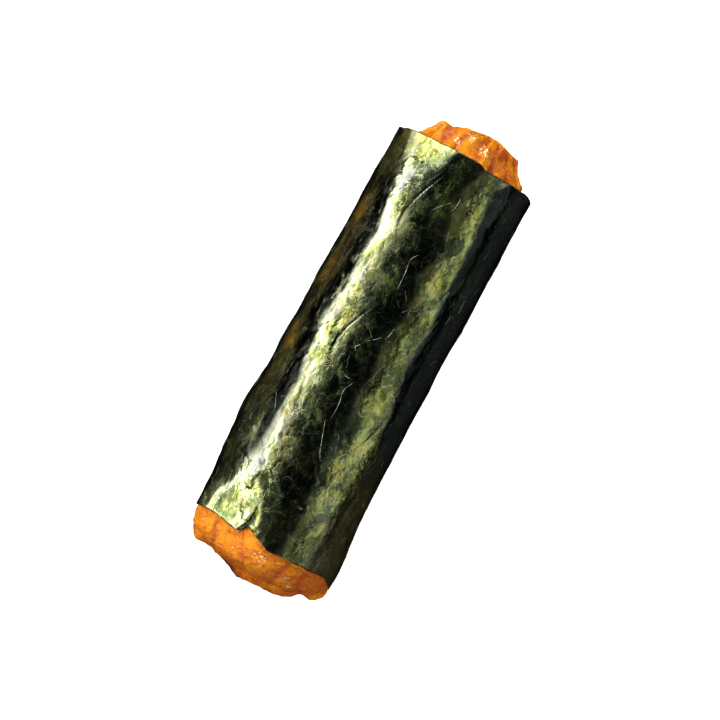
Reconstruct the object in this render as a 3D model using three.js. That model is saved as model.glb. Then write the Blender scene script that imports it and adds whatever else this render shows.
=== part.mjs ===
// A norimaki rice cracker: a baked, soy-glazed stick of rice in a band of nori seaweed.
// It lies along X, +Z up, in millimetres. The origin is under its middle, on the plane it rests on.
// Angles run round the roll's axis from the top (+Z) towards +Y, so +90 degrees is the +Y side.
import * as THREE from "three";

// The nori band: a fifth of a 210 mm sheet, wound once round the stick and lapped.
const BAND_LEFT = -20.5;
const BAND_RIGHT = 21.3;
const BAND_RADIUS = 7.45;
const BAND_THICKNESS = 0.3;
const LAP_EDGE = degrees(-114); // the free edge of the outer layer, which faces up
const LAP_WIDTH = degrees(26); // how far the outer layer covers the inner one
const LAP_RUN_IN = degrees(24); // over which the outer layer comes down to the common radius
const LAP_GAP = 0.1; // between the two layers
const REST_FLAT = 4.6; // the width of the flat that the band rests on
const AXIS_HEIGHT = Math.sqrt(BAND_RADIUS ** 2 - (REST_FLAT / 2) ** 2);

// The rice stick, as [x, radius] from the pole of each end to its straight middle.
const CLEARANCE = 0.3; // between the stick and the band
const STICK_RADIUS = BAND_RADIUS - BAND_THICKNESS - CLEARANCE;
const BLUNT_END = [
  [-24.45, 0],
  [-24.3, 2.4],
  [-23.8, 3.7],
  [-23.05, 4.5],
  [-22.95, 5.7],
  [-22.4, 6.6],
  [-21.2, 7.0],
  [-20.0, STICK_RADIUS],
];
const GATHERED_END = [
  [24.45, 0],
  [24.2, 2.2],
  [23.8, 3.5],
  [23.3, 4.4],
  [22.4, 4.9],
  [21.4, 5.8],
  [20.2, 6.5],
  [18.3, STICK_RADIUS],
];
const BLUNT_END_DROP = -1.1; // the boss of the blunt end sits to one side of the axis, along Y
const GATHERED_END_DROP = -0.8;

// How finely the solids are faceted.
const BAND_OUTER_POINTS = 60;
const BAND_INNER_POINTS = 36;
const BAND_STEPS = 24;
const STICK_SEGMENTS = 60;
const END_ROWS = 14;
const MIDDLE_ROWS = 8;

function degrees(angle) {
  return (angle * Math.PI) / 180;
}

// 0 below one edge and 1 above the other, with a smooth rise between them.
function rise(value, from, to) {
  const t = Math.min(Math.max((value - from) / (to - from), 0), 1);
  return t * t * (3 - 2 * t);
}

// 1 at the centre and falling away to either side of it, as a bell of the given width.
function hump(x, centre, width) {
  return Math.exp(-(((x - centre) / width) ** 2));
}

// The same round the axis, for angles.
function bell(angle, centre, width) {
  return hump(Math.atan2(Math.sin(angle - centre), Math.cos(angle - centre)), 0, width);
}

// How far the whole roll, stick and band together, departs from a round bar.
function swelling(angle, x) {
  const bowed = 0.16 * Math.cos(x / 14) - 0.012 * x + 0.35 * hump(x, -9.8, 3.6);
  const waisted = 0.48 * hump(x, -19.8, 2.9) - 0.15 * hump(x, -4, 12);
  const waves =
    0.05 * Math.cos(3 * angle - 0.31 * x + 1.9) * Math.cos(angle) +
    0.05 * Math.cos(4 * angle + 0.52 * x + 0.7) * Math.cos(angle) +
    0.03 * Math.cos(6 * angle - 0.83 * x + 2.6) +
    0.02 * Math.cos(7 * angle + 1.07 * x + 4.1);
  return bowed * bell(angle, degrees(90), 0.9) + waisted * bell(angle, degrees(-90), 0.8) + waves;
}

// The cut edges of the band wander a little round the roll, and one is torn in a notch.
function leftEdge(angle) {
  const notch = 0.95 * bell(angle, degrees(15), 0.2);
  const slant = 0.42 * bell(angle, degrees(85), 0.6);
  return BAND_LEFT + notch + slant + 0.08 * Math.cos(5 * angle + 0.6);
}

function rightEdge(angle) {
  return BAND_RIGHT + 0.3 * Math.sin(angle) + 0.07 * Math.cos(5 * angle);
}

// The right edge of the band turns in a little on the -Y side, where the stick is thinner.
function lip(angle, x) {
  return -0.55 * bell(angle, degrees(-90), 0.65) * rise(x, 19.6, 21.4);
}

// How far the sheet stands off its common radius, by the angle wound from its free edge.
function lapHeight(wound) {
  return (BAND_THICKNESS + LAP_GAP) * (1 - rise(wound, LAP_WIDTH, LAP_WIDTH + LAP_RUN_IN));
}

// One face of the sheet as a line in the cross-section, from the free edge to the covered one.
function sheetLine(depth, points) {
  return Array.from({ length: points }, (_, i) => {
    const wound = ((2 * Math.PI + LAP_WIDTH) * i) / (points - 1);
    const radius = BAND_RADIUS - depth + lapHeight(wound);
    const angle = LAP_EDGE - wound;
    return new THREE.Vector2(radius * Math.sin(angle), radius * Math.cos(angle));
  });
}

// Moves each vertex to a place worked out from its [x, y, z].
function reshape(geometry, place) {
  const position = geometry.getAttribute("position");
  for (let i = 0; i < position.count; i++) {
    position.setXYZ(i, ...place(position.getX(i), position.getY(i), position.getZ(i)));
  }
  geometry.computeVertexNormals();
  return geometry;
}

// A point at an angle and radius about the roll's axis, held up where the roll rests.
function aboutAxis(x, radius, angle, floor) {
  const height = AXIS_HEIGHT + radius * Math.cos(angle);
  return [x, radius * Math.sin(angle), Math.max(height, floor)];
}

// The sheet's section is extruded along Z and carried over to X, from edge to edge.
function bandGeometry() {
  const outside = sheetLine(0, BAND_OUTER_POINTS);
  const inside = sheetLine(BAND_THICKNESS, BAND_INNER_POINTS);
  const section = new THREE.Shape([...outside, ...inside.reverse()]);
  const geometry = new THREE.ExtrudeGeometry(section, {
    depth: 1,
    steps: BAND_STEPS,
    bevelEnabled: false,
  });
  return reshape(geometry, (across, up, along) => {
    const angle = Math.atan2(across, up);
    const radius = Math.hypot(across, up);
    const x = THREE.MathUtils.lerp(leftEdge(angle), rightEdge(angle), along);
    const depth = Math.max(BAND_RADIUS - radius, 0);
    return aboutAxis(x, radius + swelling(angle, x) + lip(angle, x), angle, depth);
  });
}

// Points spread evenly along a smooth line through [x, radius] pairs, as (radius, x).
function endProfile(pairs) {
  const line = new THREE.SplineCurve(pairs.map(([x, radius]) => new THREE.Vector2(radius, x)));
  return line.getSpacedPoints(END_ROWS);
}

function stickProfile() {
  const blunt = endProfile(BLUNT_END);
  const gathered = endProfile(GATHERED_END).reverse();
  const middle = Array.from({ length: MIDDLE_ROWS - 1 }, (_, i) =>
    new THREE.Vector2().lerpVectors(blunt.at(-1), gathered[0], (i + 1) / MIDDLE_ROWS),
  );
  return [...blunt, ...middle, ...gathered];
}

// The puffed knobs round the blunt end, and the bevel that takes off its corner on the +Y side.
function knobs(angle, x) {
  const round =
    0.16 * Math.cos(4 * angle + 0.9) +
    0.14 * Math.cos(6 * angle - 1.1) +
    0.1 * Math.cos(9 * angle + 2.2);
  const bevel = -0.45 * bell(angle, degrees(90), 0.7);
  return (round + bevel) * rise(-x, 20.6, 22.7);
}

// The pleats of the gathered end, and its neck, which is oval.
function pleats(angle, x) {
  const round =
    0.12 * Math.cos(11 * angle + 0.8) +
    0.1 * Math.cos(7 * angle - 0.6) +
    0.07 * Math.cos(15 * angle + 2.1) +
    0.25 * Math.cos(2 * angle);
  return round * rise(x, 19.1, 21.5);
}

function stickGeometry() {
  const geometry = new THREE.LatheGeometry(stickProfile(), STICK_SEGMENTS);
  geometry.rotateZ(-Math.PI / 2);
  return reshape(geometry, (x, y, z) => {
    const angle = Math.atan2(y, z);
    const radius = Math.hypot(y, z);
    const share = radius / STICK_RADIUS;
    const relief = swelling(angle, x) + knobs(angle, x) + pleats(angle, x);
    const floor = BAND_THICKNESS + CLEARANCE;
    const [, across, up] = aboutAxis(x, radius + relief * share, angle, floor);
    const drop =
      BLUNT_END_DROP * rise(-x, 22.7, 23.8) + GATHERED_END_DROP * rise(x, 20.8, 24.2);
    return [x, across + drop, up];
  });
}

function piece(name, geometry, material) {
  const mesh = new THREE.Mesh(geometry, new THREE.MeshStandardMaterial(material));
  mesh.name = name;
  return mesh;
}

const riceCracker = new THREE.Group();
riceCracker.add(
  piece("rice_stick", stickGeometry(), { color: 0xd9782a, roughness: 0.4, metalness: 0 }),
  piece("nori_band", bandGeometry(), { color: 0x1d2417, roughness: 0.45, metalness: 0 }),
);

export default riceCracker;
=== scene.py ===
"""A norimaki rice cracker: a baked, soy-glazed stick of rice in a band of nori seaweed.

The roll lies along X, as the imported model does. Forms are worked out in millimetres about the
roll's axis, and become metres when they are put into a mesh. An angle runs round the axis from
the top (+Z) towards +Y, in radians.
"""

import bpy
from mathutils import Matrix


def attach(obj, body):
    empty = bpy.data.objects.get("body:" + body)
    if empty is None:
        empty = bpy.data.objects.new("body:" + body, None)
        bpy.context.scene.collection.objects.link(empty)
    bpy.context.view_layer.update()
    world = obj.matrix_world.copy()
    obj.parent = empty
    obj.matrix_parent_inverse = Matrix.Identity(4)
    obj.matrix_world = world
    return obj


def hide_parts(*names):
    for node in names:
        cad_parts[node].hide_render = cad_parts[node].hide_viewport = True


bl_info = {
    "name": "Norimaki rice cracker",
    "version": (1, 0, 0),
    "blender": (4, 5, 0),
    "location": "3D View > Sidebar > Norimaki",
    "description": "Builds a nori-wrapped rice cracker and a studio to show it in",
    "category": "Add Mesh",
}

from itertools import product
from types import SimpleNamespace

import bpy
import numpy as np
from bpy.props import FloatProperty, FloatVectorProperty, PointerProperty
from mathutils import Vector

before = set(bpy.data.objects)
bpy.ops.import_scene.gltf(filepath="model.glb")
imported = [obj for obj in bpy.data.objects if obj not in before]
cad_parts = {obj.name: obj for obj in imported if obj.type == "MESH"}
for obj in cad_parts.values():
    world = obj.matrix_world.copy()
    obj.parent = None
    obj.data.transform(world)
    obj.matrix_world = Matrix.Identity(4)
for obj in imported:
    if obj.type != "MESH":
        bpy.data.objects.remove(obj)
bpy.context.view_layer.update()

MM = 0.001


# ---------------------------------------------------------------- settings


def length(name, description, default):
    """A distance in metres, from a default in millimetres."""
    return FloatProperty(
        name=name, description=description, default=default * MM, subtype="DISTANCE", unit="LENGTH"
    )


def turn(name, description, default):
    """An angle in radians, from a default in degrees."""
    return FloatProperty(
        name=name, description=description, default=np.radians(default), subtype="ANGLE"
    )


def number(name, description, default):
    """A plain number that isn't negative."""
    return FloatProperty(name=name, description=description, default=default, min=0)


def colour(name, description, default):
    """A colour, from its linear red, green and blue."""
    return FloatVectorProperty(
        name=name, description=description, default=default, subtype="COLOR", min=0, max=1
    )


class RollSizes(bpy.types.PropertyGroup):
    """The sizes that the stick and the band share."""

    band_left: length("Band's left edge", "Where the nori starts along X", -20.5)
    band_right: length("Band's right edge", "Where the nori ends along X", 21.3)
    band_radius: length("Band radius", "From the roll's axis to the outside of the nori", 7.45)
    band_thickness: length("Band thickness", "Of the nori sheet", 0.2)
    lap_edge: turn("Lap edge", "The angle at which the outer layer of the nori ends", -114)
    lap_width: turn("Lap width", "How far the outer layer covers the inner one", 26)
    lap_run_in: turn("Lap run-in", "Over which the outer layer comes down", 24)
    lap_height: length("Lap height", "How far the outer layer stands off", 0.34)
    rest_flat: length("Rest flat", "The width of the flat that the roll lies on", 4.6)
    stick_gap: length("Stick gap", "Between the rice and the nori", 0.05)


class RollColours(bpy.types.PropertyGroup):
    """The colours of the baked rice and of the nori."""

    rice: colour("Rice", "Glazed rice where it is lightest", (0.72, 0.235, 0.004))
    # The toasted colour also carries painted shade, in the grooves and on the -Y side.
    rice_toasted_and_shaded: colour("Toasted rice", "Glazed rice where it is well baked", (0.46, 0.085, 0.007))
    # Dark specks and the scorch's edge, and painted shade in folds and hollows.
    rice_dark_and_fold_shade: colour("Folds", "The bottoms of folds and hollows", (0.24, 0.028, 0.004))
    rice_burnt: colour("Burnt rice", "The scorched rim of the blunt end", (0.02, 0.008, 0.004))
    # Painted glints: pale specks that stand in for highlights on the glaze.
    rice_painted_glint: colour("Salt", "Grains and dried glaze on the rice", (0.95, 0.60, 0.34))
    # Also painted shade: on the crown by the blunt end, in the creases' shadows and along the low
    # flank.
    nori_deep_and_shade: colour("Deep nori", "Nori where it is thickest", (0.0026, 0.0044, 0.0046))
    nori_green: colour("Green nori", "The common colour of the nori", (0.0085, 0.0140, 0.0100))
    nori_olive: colour("Olive nori", "Nori where it is thin", (0.024, 0.042, 0.008))
    nori_teal: colour("Teal", "The gloss of the thickest blades", (0.030, 0.040, 0.016))
    nori_dull: colour("Dull gloss", "The gloss of thick blades", (0.058, 0.068, 0.027))
    nori_sheen: colour("Gloss", "The gloss of most blades", (0.088, 0.102, 0.034))
    nori_lime: colour("Lime", "The yellow-green gloss of thin blades", (0.130, 0.142, 0.036))
    # Also the painted highlight on the creases' lips.
    nori_cream: colour("Cream", "The gloss of the thinnest blades", (0.195, 0.188, 0.10))
    nori_reed: colour("Reed", "The gloss of the thinnest on the -Y side", (0.162, 0.172, 0.070))
    nori_warm: colour("Warm tint", "Multiplies the gloss in some patches", (1.0, 0.95, 0.66))
    nori_cool: colour("Cool tint", "Multiplies the gloss in others", (0.86, 0.96, 1.0))
    nori_veil: colour("Veil", "A greyish film in patches", (0.060, 0.060, 0.068))
    nori_slate: colour("Slate", "The same film on the -Y side", (0.030, 0.040, 0.034))
    nori_moss: colour("Moss", "Green wisps in the dark parts", (0.064, 0.082, 0.010))
    nori_brown: colour("Brown nori", "Where the rice darkens the nori", (0.040, 0.033, 0.012))
    nori_black: colour("Black nori", "The flank away from the key light", (0.024, 0.028, 0.027))
    # Painted shade above the high line and on the upright sides.
    nori_gloom: colour("Gloom", "Nori in the shade of its own shoulder", (0.0011, 0.0015, 0.0016))
    nori_amber: colour("Amber nori", "Where the rice shows through the nori", (0.20, 0.10, 0.007))
    nori_fibre: colour("Fibres", "Fine fibres in the nori", (0.34, 0.38, 0.17))
    # Also the painted glint line past a crease.
    strand_and_glint: colour("Strands", "Fine pale strands on the nori", (0.45, 0.47, 0.38))


class Studio(bpy.types.PropertyGroup):
    """The camera and the lights."""

    picture_turn: turn("Turn", "How far the roll is turned from the picture's vertical", 28.02)
    picture_width: length("Picture width", "The width of what the camera sees", 69.7)
    lens: number("Lens", "Focal length in millimetres", 200)
    key_glow: number("Key light", "Radiance of the brightest strip on the +Y side", 14)
    fill_glow: number("Fill light", "Radiance of the broad light on the -Y side", 2.35)
    end_glow: number("End lights", "Radiance of the lights at both ends", 1.0)
    glint_glow: number("Glint light", "Radiance of the small light at either end", 30)
    room_glow: number("Room light", "Radiance of the dim room all round", 0.12)
    floor_glow: number("Floor glow", "How far the floor lights itself", 0.9)


# ---------------------------------------------------------------- numbers


def rise(value, low, high):
    """0 below low and 1 above high, with a smooth rise 3t^2 - 2t^3 between them."""
    t = np.clip((value - low) / (high - low), 0, 1)
    return t * t * (3 - 2 * t)


def hump(value, centre, width):
    """exp(-((value - centre) / width)^2): 1 at the centre, falling away to either side."""
    return np.exp(-(((value - centre) / width) ** 2))


def angle_between(angle, centre):
    """How far one angle is past another, from -pi to pi."""
    return np.arctan2(np.sin(angle - centre), np.cos(angle - centre))


def bell(angle, centre, width):
    """The same round the axis: centre and width are in degrees, and angle in radians."""
    return hump(angle_between(angle, np.radians(centre)), 0, np.radians(width))


def soft_minimum(first, second, blend):
    """The smaller of two numbers, -blend * log(exp(-first / blend) + exp(-second / blend))."""
    return -blend * np.logaddexp(-first / blend, -second / blend)


# The seed of each noise and of each random draw.
SEEDS = {
    "frayed_edges": 3,
    "uneven_roll": 5,
    "wrinkles": 7,
    "nori_grain": 8,
    "blades": 11,
    "blade_edges": 12,
    "strands": 21,
    "puffs": 31,
    "pits": 32,
    "cracks": 33,
    "blisters": 34,
    "cracked_places": 35,
    "warped_pleats": 37,
    "toasting": 38,
    "pleat_depth": 39,
    "crags": 40,
    "folds_astray": 41,
    "scorch_edges": 42,
}


# The points after which a noise repeats itself, along each axis.
NOISE_PERIOD = 256
# How finely a curve is divided between two knots, before points are spread along it.
SPLINE_STEPS = 24


class Noise:
    """Perlin's gradient noise, from about -1 to 1: slopes at whole-number points, blended."""

    def __init__(self, name):
        draw = np.random.default_rng(SEEDS[name])
        self.order = draw.permutation(NOISE_PERIOD)
        slopes = draw.normal(size=(NOISE_PERIOD, 3))
        self.slopes = slopes / np.linalg.norm(slopes, axis=1, keepdims=True)

    def __call__(self, points):
        """The sum over a cell's corners of slope . offset, each weighted by 6t^5 - 15t^4 + 10t^3
        or by what that leaves of 1, along each axis."""
        cell = np.floor(points).astype(int)
        local = points - cell
        ease = local**3 * (local * (local * 6 - 15) + 10)
        total = np.zeros(points.shape[:-1])
        for corner in product((0, 1), repeat=3):
            index = np.zeros(points.shape[:-1], int)
            for axis in range(3):
                index = self.order[(index + cell[..., axis] + corner[axis]) % NOISE_PERIOD]
            weight = np.prod(np.where(corner, ease, 1 - ease), axis=-1)
            total += weight * np.einsum("...i,...i", self.slopes[index], local - corner)
        return total * 1.5

    def octaves(self, points, size, count, gain=0.5):
        """The sum of count noises, each half as coarse as the last and gain times as strong."""
        layers = (gain**i * self(points * 2**i / size + 17 * i) for i in range(count))
        return sum(layers)


def spline(knots, count):
    """Points spread evenly by length along the Catmull-Rom curve through the knots."""
    knots = np.asarray(knots, float)
    padded = np.vstack([2 * knots[0] - knots[1], knots, 2 * knots[-1] - knots[-2]])
    t = np.linspace(0, 1, SPLINE_STEPS, endpoint=False)[None, :, None]
    p0, p1, p2, p3 = (padded[i : len(padded) - 3 + i, None] for i in range(4))
    curve = 0.5 * (
        2 * p1
        + (p2 - p0) * t
        + (2 * p0 - 5 * p1 + 4 * p2 - p3) * t**2
        + (3 * p1 - p0 - 3 * p2 + p3) * t**3
    )
    dense = np.vstack([curve.reshape(-1, knots.shape[1]), knots[-1:]])
    run = np.concatenate([[0], np.cumsum(np.linalg.norm(np.diff(dense, axis=0), axis=1))])
    places = np.linspace(0, run[-1], count)
    return np.column_stack([np.interp(places, run, column) for column in dense.T])


# ---------------------------------------------------------------- meshes


def grid_faces(rows, columns, start=0, wrap=False):
    """Quads of a grid of points, row after row. With wrap, each row is a closed ring."""
    row, column = np.meshgrid(
        np.arange(rows - 1), np.arange(columns if wrap else columns - 1), indexing="ij"
    )
    after = (column + 1) % columns
    corners = [
        row * columns + column,
        row * columns + after,
        (row + 1) * columns + after,
        (row + 1) * columns + column,
    ]
    return np.stack(corners, axis=-1).reshape(-1, 4) + start


def rim_of(rows, columns, start=0):
    """The indices round the border of a grid, in the order in which its quads turn."""
    index = np.arange(rows * columns).reshape(rows, columns) + start
    sides = [index[0, :-1], index[:-1, -1], index[-1, :0:-1], index[:0:-1, 0]]
    return np.concatenate(sides)


def zip_rims(fine, coarse):
    """Triangles between two loops, of which the fine one has four points to each coarse one."""
    a, b, c, d = (fine[i::4] for i in range(4))
    e = np.roll(a, -1)
    after = np.roll(coarse, -1)
    triangles = [(b, a, coarse), (c, b, coarse), (after, c, coarse), (d, c, after), (e, d, after)]
    return np.vstack([np.column_stack(corners) for corners in triangles])


def new_piece(name, points, faces, slot, material, **attributes):
    """A smooth mesh object from points in millimetres, which rides on the body."""
    mesh = bpy.data.meshes.new(name)
    rows = [row for part in faces for row in part.tolist()]
    mesh.from_pydata((points * MM).tolist(), [], rows)
    mesh.shade_smooth()
    for label, values in attributes.items():
        attribute = mesh.attributes.new(label, "FLOAT", "POINT")
        attribute.data.foreach_set("value", values.astype(np.float32).ravel())
    mesh.materials.append(material)
    piece = bpy.data.objects.new(name, mesh)
    bpy.context.scene.collection.objects.link(piece)
    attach(piece, "root")
    return piece


# ---------------------------------------------------------------- the roll's common form


# How far the band's edges stand off to +X, as [angle in degrees, distance]. The left one is torn in
# a notch with its tip at 16 degrees.
LEFT_EDGE = [
    (-180, -0.3),
    (-102, -1.0),
    (-88, -1.0),
    (-76, -0.5),
    (-62, 0.0),
    (-18, 0.0),
    (-6, -0.1),
    (15.8, 1.1),
    (23.8, 0.18),
    (31, 0.31),
    (50, 0.65),
    (75, 0.5),
    (180, -0.3),
]
RIGHT_EDGE = [
    (-180, 0.0),
    (-100, -0.8),
    (-90, -0.75),
    (-80, -0.4),
    (-69, -0.26),
    (-36, -0.25),
    (-16, -0.2),
    (-11, 0.08),
    (16, 0.17),
    (45, 0.2),
    (58, 0.13),
    (70, -0.05),
    (100, 0.0),
    (180, 0.0),
]
# Where the roll is pressed flat: which end, the x where that starts and where it is complete, the
# angle that the flat faces and half of the angle that it takes up, in degrees.
PRESSED = [(-1, 10.0, 20.5, 33, 28), (1, 13.5, 22.0, 32, 24)]


class Roll:
    """The sizes in millimetres, and the form that the stick and the band share."""

    def __init__(self, sizes):
        self.left = sizes.band_left / MM
        self.right = sizes.band_right / MM
        self.radius = sizes.band_radius / MM
        self.thickness = sizes.band_thickness / MM
        self.stick_radius = self.radius - self.thickness - sizes.stick_gap / MM
        self.lap_edge = sizes.lap_edge
        self.lap_width = sizes.lap_width
        self.lap_run_in = sizes.lap_run_in
        self.lap_height = sizes.lap_height / MM
        self.axis_height = np.sqrt(self.radius**2 - (sizes.rest_flat / MM / 2) ** 2)

    def swelling(self, angle, x):
        """How far the whole roll departs from a round bar: bowed out on the +Y side, waisted and
        then flared on the -Y side, and gently uneven all round."""
        bowed = 0.16 * np.cos(x / 14) - 0.012 * x + 0.35 * hump(x, -9.8, 3.6)
        bowed = bowed - 0.22 * rise(-x, 13.0, 17.0)
        waisted = 0.48 * hump(x, -19.8, 2.9) - 0.15 * hump(x, -4, 12)
        waves = (
            0.05 * np.cos(3 * angle - 0.31 * x + 1.9) * np.cos(angle)
            + 0.05 * np.cos(4 * angle + 0.52 * x + 0.7) * np.cos(angle)
            + 0.03 * np.cos(6 * angle - 0.83 * x + 2.6)
            + 0.02 * np.cos(7 * angle + 1.07 * x + 4.1)
        )
        return bowed * bell(angle, 90, 51.6) + waisted * bell(angle, -90, 45.8) + waves

    def flattening(self, angle, x):
        """The roll is pressed flat near both ends, on the shoulder towards +Y. A flat that faces
        the angle c and is 2a wide lies at the radius R cos(a) / cos(angle - c) from the axis, and
        the roll's radius is the smaller of that and R, with the fold between them rounded off."""
        change = 0
        for side, start, full, centre, half in PRESSED:
            amount = rise(side * x, start, full)
            turned = np.clip(np.cos(angle - np.radians(centre)), 0.3, 1)
            reach = self.radius * np.cos(np.radians(half) * amount) + 0.3 * (1 - amount)
            change = change + soft_minimum(reach / turned - self.radius, 0, 0.05)
        return change

    def unevenness(self, angle, x):
        """Broad shallow dents in the nori, from noise."""
        places = self.about_axis(x, self.radius + 0 * x, angle, floor=-100)
        return 0.06 * Noise("uneven_roll").octaves(places, 6.5, 2)

    def left_edge(self, angle):
        """The x of the band's left edge, by straight lines between the points of LEFT_EDGE."""
        return self.left + np.interp(np.degrees(angle_between(angle, 0)), *zip(*LEFT_EDGE))

    def right_edge(self, angle):
        """The x of its right edge, likewise from RIGHT_EDGE."""
        return self.right + np.interp(np.degrees(angle_between(angle, 0)), *zip(*RIGHT_EDGE))

    def lip(self, angle, x):
        """The right edge turns in on the -Y side, where the stick is thinner."""
        return -0.5 * bell(angle, -90, 37.2) * rise(x, 20.5, 21.6)

    def lap(self, wound):
        """How far the sheet stands off, by the angle wound from its free edge."""
        return self.lap_height * (1 - rise(wound, self.lap_width, self.lap_width + self.lap_run_in))

    def about_axis(self, x, radius, angle, floor=0.0):
        """Points at x and at a radius and angle about the axis, held up where the roll rests."""
        height = np.maximum(self.axis_height + radius * np.cos(angle), floor)
        return np.stack([x, radius * np.sin(angle), height], axis=-1)


# ---------------------------------------------------------------- the nori band

# How finely the band is divided. Its inner face has one point to every INNER_STEP of the outer one.
BAND_ROWS = 328
BAND_COLUMNS_SHOWN = 200
BAND_COLUMNS_UNDER = 56
INNER_STEP = 4
SHOWN_ARC = np.radians(210)

BLADES = 1100

# Places where the rice shows through the sheet, as [x, angle in degrees, size].
AMBER_SPOTS = [
    (-2.0, 63, 1.0),
    (-0.4, 66, 0.5),
    (5.1, 63, 1.0),
    (6.7, 66, 0.5),
    (12.1, 63, 1.0),
    (13.7, 66, 0.5),
    (20.8, 62, 0.5),
    (-16.4, -64, 0.4),
    (-12.6, -68, 0.3),
    (8.0, 112, 0.9),
    (-6.5, 118, 1.0),
    (16.0, -116, 0.8),
    (2.0, 150, 1.0),
    (-12.0, 160, 0.9),
]

# Lines along the sheet, as [x, y] in the view from above. The glossy part of the sheet lies between
# the first two, and its dark crown between the other two. They are laid where the lights'
# reflections fall: the colour between the first two is painted light, and the dark crown is
# painted shade.
GLOSS_HIGH = [
    (-20.5, 6.9),
    (-18.6, 6.7),
    (-16.0, 5.6),
    (-12.5, 4.1),
    (-8.2, 4.1),
    (-3.6, 4.4),
    (1.2, 4.95),
    (6.0, 4.4),
    (10.8, 4.3),
    (15.4, 4.85),
    (19.2, 5.3),
    (21.3, 5.9),
]
GLOSS_LOW = [
    (-20.5, -4.65),
    (-16.0, -4.75),
    (-12.5, -5.45),
    (-8.2, -5.6),
    (-3.6, -4.9),
    (1.2, -4.3),
    (6.0, -4.55),
    (10.8, -4.5),
    (15.4, -4.0),
    (19.6, -3.75),
    (20.4, -4.5),
    (21.3, -5.1),
]
CROWN_HIGH = [
    (-20.5, 0.0),
    (-18.6, 0.4),
    (-16.0, 1.0),
    (-12.5, 2.1),
    (1.2, 2.0),
    (6.0, 2.5),
    (10.8, 2.6),
    (13.5, 2.4),
    (16.5, 2.8),
    (18.2, 3.1),
    (19.8, 2.8),
    (20.6, 2.2),
    (21.3, 1.3),
]
CROWN_LOW = [
    (-20.5, -2.1),
    (-17.5, -2.7),
    (-13.0, -2.1),
    (-8.5, -1.6),
    (-6.0, -1.8),
    (-3.1, -1.3),
    (-0.4, -2.2),
    (2.5, -1.1),
    (6.0, -2.2),
    (9.5, -1.8),
    (12.6, -2.5),
    (16.6, -1.1),
    (20.1, -2.1),
    (21.3, -2.4),
]

# Patches that are filmed over with a greyish gloss, as [x, y, length, width].
VEILS = [
    (-20.2, 4.0, 0.45, 1.3),
    (-13.7, 3.55, 1.8, 0.7),
    (-8.0, 3.1, 2.3, 0.5),
    (-1.0, 4.2, 0.6, 0.35),
    (2.5, 4.1, 1.0, 0.4),
    (6.9, 3.5, 1.2, 0.6),
    (16.9, 4.2, 1.5, 0.55),
    (-15.5, -3.7, 2.0, 0.7),
    (-9.2, -1.9, 2.2, 0.6),
    (20.6, -3.7, 0.8, 1.0),
]

# Darker patches in the glossy parts, as [x, y, length, width].
SHADES = [
    (-19.0, 5.8, 1.8, 0.45),
    (-12.6, 4.6, 1.9, 0.6),
    (-16.8, 5.2, 1.6, 0.5),
    (20.3, 5.3, 1.3, 0.8),
    (-19.0, -3.2, 1.6, 0.8),
    (-11.5, -4.1, 2.5, 0.5),
    (-6.4, -2.7, 1.3, 0.4),
    (-0.6, -2.8, 1.0, 0.5),
    (6.1, -2.8, 1.2, 0.4),
    (12.7, -2.9, 1.1, 0.8),
    (10.6, -3.4, 1.5, 0.5),
    (16.6, -4.0, 1.2, 0.6),
]

# Patches where the sheet is thinner and paler, likewise.
SPARSE = [
    (-8.4, 2.8, 2.2, 0.8),
    (-8.2, 3.9, 2.0, 0.5),
    (-12.8, 2.9, 1.6, 0.6),
    (-3.4, -3.1, 1.7, 0.8),
    (16.6, -2.7, 1.4, 0.8),
]

# Creases in the sheet: the [x, y] points that each passes in the view from above, how strong it is,
# and the width of its shadow.
CREASES = [
    ([(-2.4, 2.3), (-1.4, 2.8), (0.2, 3.0), (1.6, 2.75), (2.8, 2.25), (4.8, 1.4)], 1.2, 0.07),
    ([(11.3, 2.3), (12.4, 2.85), (13.9, 3.0), (15.4, 2.7), (16.9, 2.2), (19.0, 1.25)], 1.0, 0.07),
    ([(-20.9, 3.25), (-19.9, 2.9), (-18.9, 2.25), (-17.0, 2.05)], 1.6, 0.3),
    ([(-8.4, -3.4), (-7.2, -4.0), (-5.6, -4.55), (-3.8, -4.9)], 0.7, 0.06),
    ([(7.4, -3.6), (8.6, -4.2), (9.8, -4.6)], 0.7, 0.06),
    ([(-19.2, 5.8), (-18.0, 5.7), (-16.6, 5.1)], 0.5, 0.3),
    ([(-15.6, -3.2), (-13.6, -3.45), (-11.8, -3.1)], 0.35, 0.05),
    ([(-6.6, 5.2), (-4.2, 5.45), (-1.6, 5.3)], 0.35, 0.05),
    ([(3.4, -0.9), (5.0, -1.4), (7.0, -1.75)], 0.3, 0.05),
    ([(8.5, 0.9), (10.6, 1.25), (12.6, 1.1)], 0.3, 0.05),
]


def wound_angles(roll):
    """Angles wound from the free edge: close together over the top, wider apart underneath."""
    total = 2 * np.pi + roll.lap_width
    middle = roll.lap_edge % (2 * np.pi)
    shown_from = middle - SHOWN_ARC / 2
    shown_to = middle + SHOWN_ARC / 2
    before = int(BAND_COLUMNS_UNDER * shown_from / (total - SHOWN_ARC))
    before -= before % INNER_STEP
    counts = [0, before, before + BAND_COLUMNS_SHOWN, BAND_COLUMNS_SHOWN + BAND_COLUMNS_UNDER]
    places = np.arange(counts[-1] + 1)
    return np.interp(places, counts, [0, shown_from, shown_to, total])


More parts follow.
